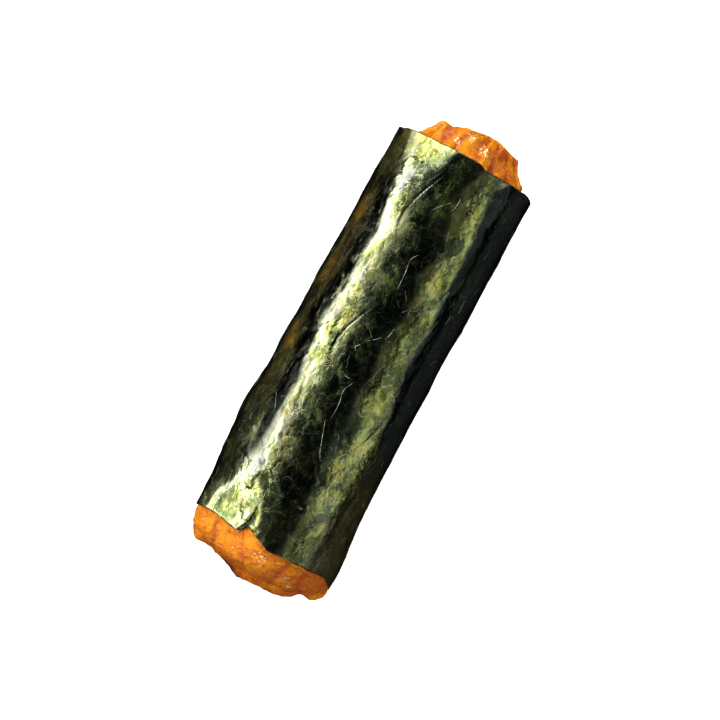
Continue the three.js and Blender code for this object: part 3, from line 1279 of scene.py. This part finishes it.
    def attribute(self, name):
        """A value that the mesh's points carry."""
        return self.node("Attribute", {"attribute_name": name}, {}, "Fac")

    def part(self, vector, axis):
        """One coordinate of a vector."""
        return self.node("SeparateXYZ", {}, {0: vector}, axis)

    def bump(self, height, distance, strength=1.0):
        """A normal bent by a height from 0 to 1, which stands for so many millimetres."""
        sockets = {"Height": height, "Distance": distance * MM, "Strength": strength}
        return self.node("Bump", {}, sockets)

    def finish(self, **links):
        """Feeds the surface's sockets, named with underscores for spaces."""
        self.feed(self.surface, {key.replace("_", " "): value for key, value in links.items()})
        return self.material


# How far the nori's own noises are drawn out along each axis.
NORI_STRETCH = (1.6, 1, 1)


def nori_places(shader):
    """Which part of the sheet a point is in, mostly as a weight from 0 to 1. The glossy part, lit,
    ends in a ragged line on either flank, and the crown is dark; these zones are laid where the
    lights' reflections fall, so their colours are painted light and shade. Left is the blunt end's
    third. Gloom is a strip of painted shade above the high line, and near is the low flank down to
    its turn, painted in shade too. Side is where the sheet stands upright, painted darker. Clear
    marks painted highlight: towards the ends, in a streak below the high line, and past the
    creases."""
    where = shader.place()
    drawn_out = shader.place(NORI_STRETCH)
    x = shader.part(where, "X")
    y = shader.part(where, "Y")
    wander = 1.1 * (shader.noise(shader.place((3, 1, 1)), 1.3, 5, 0.65) - 0.5)
    lobes = 2.4 * (shader.noise(shader.place((1.5, 1, 1)), 2.4, 2.5, 0.55) - 0.5)
    above = shader.attribute("above") + wander
    below = shader.attribute("below") + 1.4 * wander
    left = 1 - shader.ramp(x, -14, -5)
    high_flank = shader.ramp(above + 0.4 * left, -0.3, 0.25 + 1.2 * left)
    low_flank = shader.ramp(below, -0.4, 0.25)
    crown = shader.ramp(shader.attribute("crown") + lobes, -0.9, 0.9)
    gloom = high_flank * (1 - shader.ramp(above, 1.0, 1.8)) * shader.ramp(x, -18, -11)
    gloom = gloom * (1 - shader.ramp(x, 15, 18))
    opening = shader.ramp(shader.noise(drawn_out, 0.9, 3, 0.5, 0.8), 0.52, 0.62)
    turned = shader.attribute("turned")
    side = shader.ramp(turned, 1.2, 1.34) * (1 - shader.ramp(turned, 1.7, 2.1))
    # Painted highlight: a streak below the high line, and bright ends on the +Y side.
    streak = shader.ramp(above, -1.9, -1.0) * (1 - high_flank)
    ends = 1 - shader.ramp(x, -20.0, -14.5) + shader.ramp(x, 17.0, 20.5)
    painted_bright_ends = ends * shader.ramp(y, 0.5, 2.0) * (1 - high_flank)
    bright = shader.maximum(0.7 * painted_bright_ends, 0.8 * streak)
    return SimpleNamespace(
        where=where,
        drawn_out=drawn_out,
        x=x,
        y=y,
        above=above,
        left=left,
        high_flank=high_flank,
        low_flank=low_flank,
        crown=crown,
        lit=(1 - high_flank) * (1 - low_flank) * (1 - 0.92 * crown),
        gloom=gloom * (1 - 0.5 * opening * shader.ramp(x, -3, 1)),
        near=low_flank * (1 - shader.ramp(-1 * y, 5.3, 6.0)),
        side=side * (1 - 0.7 * left * low_flank),
        ends=ends,
        clear=shader.maximum(bright, shader.attribute("pale")),
    )


def nori_weave(shader, at):
    """The pattern of the blades. Thin is about 0.5 and tells how thin the sheet is: a cloud, with
    shares of the wisps, of the tones of two sizes of torn patches, and of the blades' own tone and
    number. It is raised and smoothed where clear marks painted highlight, and lowered on the crown
    as painted shade. Moss and veil are made likewise from the cloud and the wisps. The outlines of
    the patches are dark cracks in some places, and pale fibres in the rest; the fibres are painted
    fainter outside the lit part and on the -Y side."""
    cloud = shader.noise(at.drawn_out, 1.7, 3, 0.55, 0.8)
    crisp = shader.noise(at.drawn_out, 0.35, 1, 0.5, 0.7)
    wisp = shader.wisps(18, -38, 0.55)
    leaf, leaf_line = shader.cells(20, 1.5)
    scrap, scrap_line = shader.cells(-35, 0.9)
    tone = shader.attribute("tone") - 0.5
    thick = shader.attribute("blades") - 2.5
    thin = cloud + 0.2 * tone - 0.03 * thick + 0.35 * (wisp - 0.5)
    thin = thin + 0.23 * (leaf - 0.5) + 0.18 * (scrap - 0.5) + 0.1 * (crisp - 0.5) - 0.5
    # Painted highlight where clear is high, and painted shade on the crown.
    thin = 0.5 + thin * (1 - 0.5 * at.clear) + 0.08 * at.clear - 0.05 * at.crown
    moss = cloud + 0.14 * (leaf - 0.5) + 0.12 * (scrap - 0.5) + 0.6 * (wisp - 0.5)
    moss = shader.ramp(moss + 0.15 * (crisp - 0.5), 0.52, 0.88)
    veil = shader.attribute("veil") + 2.4 * (cloud - 0.5) + 1.6 * (wisp - 0.5)
    outline = leaf_line + 0.6 * scrap_line
    pale_line = shader.ramp(shader.noise(at.where, 1.2, 2), 0.48, 0.58)
    fibre = shader.fibres(12, 1.1) + shader.fibres(-28, 1.3) + shader.fibres(48, 1.2)
    # The fibres are painted fainter outside the lit part, as shade.
    fibre = shader.ramp(fibre + outline * pale_line, 0, 1) * (0.25 + 0.75 * at.lit)
    return SimpleNamespace(
        cloud=cloud,
        crisp=crisp,
        wisp=wisp,
        thin=thin - 0.2 * shader.attribute("shade"),
        moss=moss,
        mossy=moss * shader.ramp(at.y, -1.5, 1.5) * (1 - 0.7 * shader.ramp(-7 - at.x, 0, 6)),
        veil=shader.ramp(veil, 0.3, 1.0),
        crack=outline * (1 - pale_line) * (1 - 0.6 * at.clear),
        # Fainter again on the -Y side, as painted shade.
        fibre=fibre * (0.5 + 0.5 * shader.ramp(at.y, -1, 2)),
    )


def nori_amber(shader, at, weave):
    """How far the rice shows through in amber: at the amber spots, broken up by the weave, and in
    fine dashes high on the +Y flank."""
    rust = shader.ramp(shader.noise(shader.drawn(0, 0.12), 0.35, 4, 0.6), 0.46, 0.66)
    rust = rust * shader.ramp(at.above, 1.2, 2.0) * shader.ramp(at.x, -4, 0)
    amber = shader.attribute("amber") * (1 + 3 * (weave.cloud - 0.5) + 2.0 * (weave.wisp - 0.5))
    return shader.maximum(0.75 * shader.ramp(amber, 0.0, 1.9), 0.3 * rust)


def nori_body(shader, colours, at, weave):
    """The sheet's own colour by how thin it is, mossy on the crown, black on the low flank, and
    brown with moss, dark gaps and amber on the high one. Towards the blunt end the crown has
    painted shade."""
    stops = [
        (0.42, colours.nori_deep_and_shade),
        (0.56, colours.nori_green),
        (0.78, colours.nori_olive),
    ]
    body = shader.shades(weave.thin, stops)
    body = shader.blend(weave.mossy * at.crown * 0.8, body, colours.nori_moss)
    # Painted shade on the crown, towards the blunt end.
    body = shader.blend(at.left * at.crown * 0.85, body, colours.nori_deep_and_shade)
    body = shader.blend(at.low_flank * (1 - at.left) * 0.8, body, colours.nori_black)
    brown = at.high_flank * (0.8 - 0.4 * at.left) + 0.9 * at.low_flank * at.left
    brown = brown * shader.ramp(weave.cloud, 0.2, 0.5)
    body = shader.blend(brown, body, colours.nori_brown)
    body = shader.blend(weave.moss * at.high_flank * 0.9, body, colours.nori_moss)
    gap = shader.ramp(shader.noise(at.drawn_out, 2.3, 3, 0.5, 0.5), 0.5, 0.6)
    body = shader.blend(gap * at.high_flank * 0.8, body, colours.nori_deep_and_shade)
    return shader.blend(nori_amber(shader, at, weave), body, colours.nori_amber)


def nori_gloss(shader, colours, at, weave):
    """The colour of the glossy part by how thin it is, brighter and creamier on the +Y side, where
    the key light falls: painted light. A noise tints it warm in some patches and cool in others.
    It is cream past the creases as painted highlight, veiled in patches, and darker along the
    cracks."""
    low_stops = [
        (0.36, colours.nori_teal),
        (0.46, colours.nori_dull),
        (0.55, colours.nori_sheen),
        (0.64, colours.nori_lime),
        (0.78, colours.nori_reed),
    ]
    high_stops = [
        (0.34, colours.nori_teal),
        (0.42, colours.nori_dull),
        (0.48, colours.nori_sheen),
        (0.54, colours.nori_lime),
        (0.60, colours.nori_cream),
    ]
    low = shader.shades(weave.thin, low_stops)
    high = shader.shades(weave.thin, high_stops)
    # Brighter, creamier gloss on the +Y side, where the key light falls: painted light.
    gloss = shader.blend(shader.ramp(at.y, -1, 2), low, high)
    hue = shader.noise(at.where, 1.9, 3, 0.55, 0.6)
    gloss = shader.blend(shader.ramp(hue, 0.5, 0.6), gloss, colours.nori_warm, "MULTIPLY")
    gloss = shader.blend(1 - shader.ramp(hue, 0.38, 0.47), gloss, colours.nori_cool, "MULTIPLY")
    # Painted highlight on the creases' lips.
    gloss = shader.blend(shader.attribute("pale"), gloss, colours.nori_cream)
    gloss = shader.blend(weave.veil * shader.ramp(at.y, 0, 2) * 0.9, gloss, colours.nori_veil)
    low_veil = weave.veil * shader.ramp(-1 * at.y, 0, 1) * 0.8
    gloss = shader.blend(low_veil, gloss, colours.nori_slate)
    return shader.blend(shader.ramp(weave.crack, 0, 1) * 0.5, gloss, colours.nori_deep_and_shade)


def nori_metallic(shader, at, weave):
    """How metallic the sheet is. A metallic surface colours its reflections, which are all that
    shows where it is glossy. It doesn't scatter light, which keeps the crown and flanks dark."""
    metallic = (0.86 + 0.06 * at.left) * at.crown * (1 - 0.8 * weave.mossy)
    flanks = 0.6 * at.high_flank + (0.6 - 0.3 * at.left) * at.low_flank
    metallic = shader.maximum(metallic, flanks)
    metallic = shader.maximum(metallic, 0.985 * at.gloom + (0.96 - 0.1 * at.left) * at.near)
    metallic = shader.maximum(metallic, 0.97 * at.lit)
    return shader.maximum(metallic, shader.attribute("shadow"))


def nori_film(shader, at, weave):
    """A clear film of gloss on the +Y side: over its veils, and in a strip under the high line."""
    veiled = 0.6 * weave.veil * shader.ramp(at.y, 2.0, 3.0)
    strip = shader.ramp(at.above, -1.0, -0.5) * shader.ramp(weave.cloud, 0.33, 0.45)
    return shader.maximum(veiled, strip * (1 - 0.7 * at.ends)) * (1 - at.high_flank)


def nori_material(colours):
    """Pressed seaweed: blackish green where blades lie thick, olive where they are thin, and
    yellow-green where it is glossy. Pale fibres lie over both. Shade is painted in the creases'
    shadows, on the crown, above the high line, along the low flank and on the upright sides, and a
    painted glint line runs past a crease."""
    shader = Shader(
        "pressed_nori",
        **{
            "IOR": 1.6,
            "Specular IOR Level": 1.0,
            "Specular Tint": (0.45, 0.5, 0.3),
            "Coat Roughness": 0.14,
            "Coat IOR": 1.5,
        },
    )
    at = nori_places(shader)
    weave = nori_weave(shader, at)
    body = nori_body(shader, colours, at, weave)
    body = shader.blend(at.lit, body, nori_gloss(shader, colours, at, weave))
    body = shader.blend(weave.fibre * 0.75, body, colours.nori_fibre)
    # Painted shadow of the creases, and painted shade along the low flank.
    body = shader.blend(shader.attribute("shadow"), body, colours.nori_deep_and_shade)
    body = shader.blend(at.near * (0.85 - 0.4 * at.left), body, colours.nori_deep_and_shade)
    # Painted shade: a strip above the high line, and the upright sides.
    body = shader.blend(at.gloom * 0.97, body, colours.nori_gloom)
    body = shader.blend(at.side * 0.8, body, colours.nori_gloom)
    # A painted glint line past each crease.
    crease_glint = shader.ramp(shader.attribute("crease_glint") * (0.3 + 1.4 * weave.crisp), 0.15, 0.9)
    metallic = nori_metallic(shader, at, weave) * (1 - crease_glint)
    dull = shader.noise(at.drawn_out, 1.1, 5, 0.65, 0.5) + 0.25 * (shader.attribute("tone") - 0.5)
    rumple = shader.noise(at.drawn_out, 0.5, 3, 0.5, 0.4)
    height = 0.5 * rumple + 0.5 * weave.wisp + 0.15 * weave.fibre - 0.2 * weave.crack
    film = nori_film(shader, at, weave)
    return shader.finish(
        Base_Color=shader.blend(crease_glint, body, colours.strand_and_glint),
        Metallic=metallic + weave.fibre * (0.6 - metallic),
        Roughness=0.13 + 0.15 * shader.ramp(dull, 0.34, 0.68) + 0.06 * at.ends,
        Coat_Weight=film,
        Normal=shader.bump(height * (1 - 0.4 * film), 0.04),
    )


def strand_material(colours):
    """Fine dried strands, paler than the sheet."""
    shader = Shader("pale_strand", **{"Roughness": 0.3})
    tone = shader.ramp(shader.noise(shader.place(), 0.5, 3, 0.7), 0.36, 0.62)
    tone = tone * shader.attribute("pale")
    return shader.finish(Base_Color=shader.blend(tone, colours.nori_olive, colours.strand_and_glint))


def rice_material(colours):
    """Baked rice under a soy glaze: orange, toasted in patches and browner towards -Y, partly as
    painted shade, with painted shade in its folds and hollows, dark specks, black where it is
    scorched, and small pale painted glints. The glaze is thick on the shiny spots, and leaves the
    blunt end's flanks nearly bare."""
    shader = Shader(
        "glazed_rice",
        **{
            "Specular Tint": (1.0, 0.7, 0.35),
            "Coat Roughness": 0.07,
            "Coat IOR": 1.5,
            "Subsurface Weight": 0.1,
            "Subsurface Radius": (1.0, 0.35, 0.12),
            "Subsurface Scale": 0.6 * MM,
        },
    )
    where = shader.place()
    toast_and_shade = shader.attribute("toast_and_shade")
    fold = shader.attribute("fold")
    grain = shader.noise(where, 0.28, 5, 0.75)
    streak = shader.noise(shader.place((0.5, 1.6, 1.6)), 0.7, 5, 0.65)
    crust = shader.noise(where, 0.13, 3, 0.7)
    # Toasting, which also carries the painted shade of the relief and of the -Y side.
    browned = toast_and_shade + 2.1 * (grain - 0.5) + 1.5 * (streak - 0.5) + 1.3 * (crust - 0.5)
    body = shader.blend(shader.ramp(browned, 0.1, 1.0), colours.rice, colours.rice_toasted_and_shaded)
    # Painted shade in the folds, cracks and hollows.
    body = shader.blend(fold * 0.7, body, colours.rice_dark_and_fold_shade)
    burnt = shader.attribute("scorch") + 0.5 * (grain - 0.5)
    body = shader.blend(shader.ramp(burnt, 0.1, 0.5) * 0.8, body, colours.rice_dark_and_fold_shade)
    body = shader.blend(shader.ramp(burnt, 0.35, 0.85), body, colours.rice_burnt)
    speck = shader.ramp(shader.noise(where, 0.2, 2), 0.62, 0.72)
    body = shader.blend(speck * 0.6, body, colours.rice_dark_and_fold_shade)
    # Painted glints: pale specks on the rice, thickest on the shiny spots.
    painted_glint = shader.noise(shader.place((1, 1.6, 1)), 0.22, 1)
    painted_glint = shader.ramp(painted_glint + 0.2 * shader.attribute("shine"), 0.73, 0.8)
    body = shader.blend(painted_glint * 0.9, body, colours.rice_painted_glint)
    sticky = shader.ramp(shader.noise(where, 1.4, 3), 0.5, 0.58)
    roughness = 0.4 + 0.25 * grain - 0.28 * sticky
    gathered = shader.ramp(shader.part(where, "X"), -5, 5)
    apart = abs(shader.part(where, "Y") + 1.0)
    bare = (1 - gathered) * shader.ramp(apart, 1.0, 2.2)
    shine = shader.ramp(shader.attribute("shine") + 0.4 * (crust - 0.5), 0.15, 0.5)
    glaze = shader.ramp(shader.noise(where, 0.8, 3), 0.36, 0.56) * 0.25 * (1 - bare)
    height = 0.7 * grain + 0.25 * streak + 0.15 * crust
    return shader.finish(
        Base_Color=body,
        Roughness=roughness * (1 - 0.6 * shine),
        Coat_Weight=shader.maximum(glaze, shine),
        Normal=shader.bump(height, 0.3),
    )


def floor_material(glow):
    """A plain pale floor that also lights itself a little."""
    shader = Shader("pale_floor", **{"Roughness": 0.9, "Specular IOR Level": 0.0})
    white = (0.8, 0.8, 0.795)
    return shader.finish(Base_Color=white, Emission_Color=white, Emission_Strength=glow)


# ---------------------------------------------------------------- the stage

# Where the camera and the lights are aimed.
ROLL_MIDDLE = Vector((-0.435, -0.024, 7.1)) * MM
# The lights: the setting of each one's radiance and its share of that, its width in metres, the
# elevations that it reaches from and to, and its heading from +Y towards +X, in degrees.
LIGHTS = [
    ("key_low", "key_glow", 1.0, 0.46, 10, 23, 0),
    ("key_middle", "key_glow", 0.55, 0.46, 23, 34, 0),
    ("key_high", "key_glow", 0.165, 0.46, 34, 49, 0),
    ("key_top", "key_glow", 0.02, 0.46, 49, 62, 0),
    ("fill_low", "fill_glow", 1.0, 0.4, 8, 44, 180),
    ("fill_high", "fill_glow", 0.12, 0.4, 44, 56, 180),
    ("blunt_end_light", "end_glow", 1.0, 0.3, 5, 35, -90),
    ("gathered_end_light", "end_glow", 0.8, 0.3, 5, 35, 90),
    ("gathered_glint_light", "glint_glow", 0.72, 0.16, 18, 42, 72),
    ("blunt_glint_light", "glint_glow", 3.0, 0.03, 44, 52, -107),
]
LIGHT_DISTANCE = 0.4
SENSOR_WIDTH = 36


def studio_sweep(material):
    """A round floor that curves up into a shallow bowl: height = 1.75 * max(0, r - 0.4)^2."""
    reach = np.concatenate([[0.02], np.linspace(0.1, 0.4, 4), np.linspace(0.43, 1.6, 28)])
    turns = np.linspace(0, 2 * np.pi, 96, endpoint=False)
    radius, around = np.meshgrid(reach, turns, indexing="ij")
    height = 1.75 * np.maximum(radius - 0.4, 0) ** 2
    points = np.stack([radius * np.cos(around), radius * np.sin(around), height], axis=-1)
    mesh = bpy.data.meshes.new("studio_sweep")
    faces = grid_faces(len(reach), len(turns), wrap=True)[:, ::-1].tolist()
    faces.append(list(range(len(turns))))
    mesh.from_pydata(points.reshape(-1, 3).tolist(), [], faces)
    mesh.shade_smooth()
    mesh.materials.append(material)
    sweep = bpy.data.objects.new("studio_sweep", mesh)
    bpy.context.scene.collection.objects.link(sweep)
    sweep.visible_glossy = False
    sweep.visible_diffuse = False


def strip_light(name, glow, width, low, high, heading):
    """A rectangular light that faces the roll, as LIGHTS describes it. Its radiance is glow, so its
    power is pi * glow * area."""
    data = bpy.data.lights.new(name, "AREA")
    data.shape = "RECTANGLE"
    data.size = width
    data.size_y = 2 * LIGHT_DISTANCE * np.tan(np.radians(high - low) / 2)
    data.energy = np.pi * glow * data.size * data.size_y
    tilt, heading = np.radians((low + high) / 2), np.radians(heading)
    flat = Vector((np.sin(heading), np.cos(heading), 0)) * np.cos(tilt)
    towards = flat + Vector((0, 0, np.sin(tilt)))
    lamp = bpy.data.objects.new(name, data)
    lamp.location = ROLL_MIDDLE + towards * LIGHT_DISTANCE
    lamp.rotation_euler = (-towards).to_track_quat("-Z", "Y").to_euler()
    lamp.visible_camera = False
    bpy.context.scene.collection.objects.link(lamp)


def studio_world(glow):
    """A dim grey room all round, which glossy surfaces don't mirror."""
    world = bpy.data.worlds.new("studio_world")
    world.use_nodes = True
    world.node_tree.nodes["Background"].inputs["Color"].default_value = (glow, glow, glow, 1)
    world.cycles_visibility.glossy = False
    return world


def studio_camera(studio):
    """A long lens straight above the roll, turned so that the roll stands aslant in the picture."""
    data = bpy.data.cameras.new("camera")
    data.lens = studio.lens
    data.sensor_width = SENSOR_WIDTH
    camera = bpy.data.objects.new("camera", data)
    distance = studio.picture_width * studio.lens / SENSOR_WIDTH
    camera.location = ROLL_MIDDLE + Vector((0, 0, distance))
    camera.rotation_euler = (0, 0, studio.picture_turn - np.pi / 2)
    bpy.context.scene.collection.objects.link(camera)
    return camera


class NORIMAKI_OT_stage(bpy.types.Operator):
    """Add the pale floor, the studio lights and the camera, which looks straight down"""

    bl_idname = "norimaki.stage"
    bl_label = "Stage"

    def execute(self, context):
        scene = context.scene
        studio = scene.norimaki_studio
        studio_sweep(floor_material(studio.floor_glow))
        for name, setting, share, *place in LIGHTS:
            strip_light(name, share * getattr(studio, setting), *place)
        scene.world = studio_world(studio.room_glow)
        scene.view_settings.view_transform = "Standard"
        scene.camera = studio_camera(studio)
        return {"FINISHED"}


# ---------------------------------------------------------------- add-on


class NORIMAKI_PT_panel(bpy.types.Panel):
    """Lists the pieces and their settings"""

    bl_idname = "NORIMAKI_PT_panel"
    bl_label = "Norimaki rice cracker"
    bl_space_type = "VIEW_3D"
    bl_region_type = "UI"
    bl_category = "Norimaki"

    def draw(self, context):
        for operator in OPERATORS:
            self.layout.operator(operator.bl_idname)
        for group in (
            context.scene.norimaki_sizes,
            context.scene.norimaki_colours,
            context.scene.norimaki_studio,
        ):
            box = self.layout.box()
            for label in group.__annotations__:
                box.prop(group, label)


OPERATORS = (
    NORIMAKI_OT_stage,
    NORIMAKI_OT_rice_stick,
    NORIMAKI_OT_nori_band,
    NORIMAKI_OT_nori_strands,
)
GROUPS = {
    "norimaki_sizes": RollSizes,
    "norimaki_colours": RollColours,
    "norimaki_studio": Studio,
}


def register():
    for group in GROUPS.values():
        bpy.utils.register_class(group)
    for label, group in GROUPS.items():
        setattr(bpy.types.Scene, label, PointerProperty(type=group))
    for operator in OPERATORS:
        bpy.utils.register_class(operator)
    bpy.utils.register_class(NORIMAKI_PT_panel)


def unregister():
    bpy.utils.unregister_class(NORIMAKI_PT_panel)
    for operator in reversed(OPERATORS):
        bpy.utils.unregister_class(operator)
    for label, group in GROUPS.items():
        delattr(bpy.types.Scene, label)
        bpy.utils.unregister_class(group)


def main():
    register()
    bpy.ops.norimaki.stage()
    bpy.ops.norimaki.rice_stick()
    bpy.ops.norimaki.nori_band()
    bpy.ops.norimaki.nori_strands()


if __name__ == "__main__":
    main()
